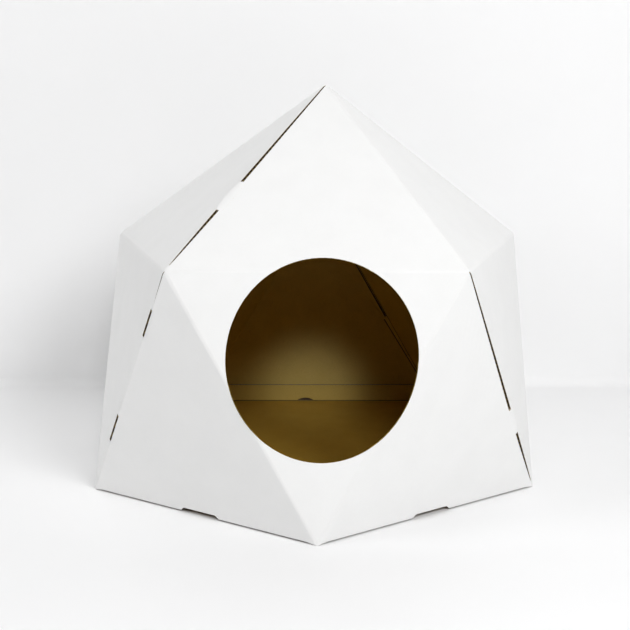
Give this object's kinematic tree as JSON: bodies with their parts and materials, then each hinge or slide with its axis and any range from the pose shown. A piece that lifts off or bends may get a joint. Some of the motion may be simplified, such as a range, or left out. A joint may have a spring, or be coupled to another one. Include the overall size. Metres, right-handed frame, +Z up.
{
  "type": "cat condo",
  "caption": "Folded board pet house of triangular roof and wall panels with a round entry hole in the front, standing on a loose floor tray.",
  "frame": {"origin": "on the floor, under the middle of the base pentagon", "axes": "+Z up, +Y towards the back, the entry hole looks along -Y"},
  "size_m": [0.4999, 0.5388, 0.4458],
  "materials": {
    "white_board": "matt white-lined corrugated board, plain brown inside",
    "kraft_board": "plain brown corrugated board"
  },
  "bodies": {
    "tray": {"floor_panel": "kraft_board"},
    "flap_front_left": {"flap_front_left": "kraft_board"},
    "flap_front_right": {"flap_front_right": "kraft_board"},
    "flap_right": {"flap_right": "kraft_board"},
    "flap_back": {"flap_back": "kraft_board"},
    "flap_left": {"flap_left": "kraft_board"},
    "roof": {"roof_front": "white_board", "roof_right": "white_board", "roof_back_right": "white_board", "roof_back_left": "white_board", "roof_left": "white_board", "tab_roof": "kraft_board"},
    "front": {"front_corner_left": "white_board", "front_corner_right": "white_board", "front_corner_foot": "white_board"},
    "down_right": {"down_right": "white_board"},
    "down_back_right": {"down_back_right": "white_board", "tab_back": "kraft_board"},
    "down_back_left": {"down_back_left": "white_board"},
    "down_left": {"down_left": "white_board"},
    "wall_front_left": {"wall_front_left": "white_board", "tab_left_upper": "kraft_board", "tab_left_lower": "kraft_board"},
    "wall_front_right": {"wall_front_right": "white_board", "tab_right": "kraft_board"},
    "wall_right": {"wall_right": "white_board", "tab_rear_right": "kraft_board"},
    "wall_back": {"wall_back": "white_board"},
    "wall_left": {"wall_left": "white_board", "tab_rear_left": "kraft_board"}
  },
  "joints": [
    {"name": "shell_lift", "type": "slide", "parent": "tray", "child": "roof", "axis": [0, 0, 1], "range_m": [0, 0.12]},
    {"name": "crease_front", "type": "hinge", "parent": "roof", "child": "front", "pos_m": [0, -0.215, 0.278], "axis": [-1, 0, 0], "range_deg": [0, 43.1], "deforming": ["tab_left_upper", "tab_left_lower", "tab_right"]},
    {"name": "crease_wall_front_left", "type": "hinge", "parent": "front", "child": "wall_front_left", "pos_m": [-0.0775, -0.2385, 0.139], "axis": [-0.4818, 0.1461, 0.864], "range_deg": [0, 37.5], "deforming": ["tab_left_upper", "tab_left_lower"]},
    {"name": "crease_wall_front_right", "type": "hinge", "parent": "front", "child": "wall_front_right", "pos_m": [0.0775, -0.2385, 0.139], "axis": [-0.4818, -0.1461, -0.864], "range_deg": [0, 39.8], "deforming": ["tab_right"]},
    {"name": "crease_down_right", "type": "hinge", "parent": "roof", "child": "down_right", "pos_m": [0.1975, -0.0665, 0.27], "axis": [-0.2748, -0.9601, 0.0517], "range_deg": [0, 37.2], "deforming": ["tab_right", "tab_rear_right"]},
    {"name": "crease_wall_right", "type": "hinge", "parent": "down_right", "child": "wall_right", "pos_m": [0.2435, -0.00425, 0.131], "axis": [0.0223, -0.5498, -0.835], "range_deg": [0, 35.5], "deforming": ["tab_rear_right"]},
    {"name": "crease_down_back_right", "type": "hinge", "parent": "roof", "child": "down_back_right", "pos_m": [0.1225, 0.1795, 0.2675], "axis": [0.7691, -0.6382, -0.036], "range_deg": [0, 34.9], "deforming": ["tab_rear_right", "tab_back"]},
    {"name": "crease_down_back_left", "type": "hinge", "parent": "roof", "child": "down_back_left", "pos_m": [-0.1175, 0.1795, 0.2675], "axis": [0.7819, 0.6224, 0.0351], "range_deg": [0, 35.7], "deforming": ["tab_back", "tab_rear_left"]},
    {"name": "crease_wall_back", "type": "hinge", "parent": "down_back_left", "child": "wall_back", "pos_m": [-0.079, 0.2545, 0.1365], "axis": [0.519, 0.139, 0.8434], "range_deg": [0, 45.4], "deforming": ["tab_back"]},
    {"name": "crease_down_left", "type": "hinge", "parent": "roof", "child": "down_left", "pos_m": [-0.1975, -0.0665, 0.27], "axis": [-0.2748, 0.9601, -0.0517], "range_deg": [0, 38.2], "deforming": ["tab_left_upper", "tab_left_lower", "tab_rear_left"]},
    {"name": "crease_wall_left", "type": "hinge", "parent": "down_left", "child": "wall_left", "pos_m": [-0.2465, -0.00875, 0.131], "axis": [0.0408, 0.569, 0.8213], "range_deg": [0, 36.6], "deforming": ["tab_rear_left"]},
    {"name": "fold_flap_front_right", "type": "hinge", "parent": "tray", "child": "flap_front_right", "pos_m": [0.11974, -0.17083, 0.0033], "axis": [-0.8214, -0.5703, 0], "range_deg": [0, 86]},
    {"name": "fold_flap_right", "type": "hinge", "parent": "tray", "child": "flap_right", "pos_m": [0.19861, 0.06909, 0.0033], "axis": [0.2521, -0.9677, 0], "range_deg": [0, 86]},
    {"name": "fold_flap_back", "type": "hinge", "parent": "tray", "child": "flap_back", "pos_m": [0, 0.2254, 0.0033], "axis": [1, 0, 0], "range_deg": [0, 86]},
    {"name": "fold_flap_left", "type": "hinge", "parent": "tray", "child": "flap_left", "pos_m": [-0.20163, 0.06452, 0.0033], "axis": [0.262, 0.9651, 0], "range_deg": [0, 86]},
    {"name": "fold_flap_front_left", "type": "hinge", "parent": "tray", "child": "flap_front_left", "pos_m": [-0.12293, -0.1752, 0.0033], "axis": [-0.8414, 0.5404, 0], "range_deg": [0, 86]}
  ]
}
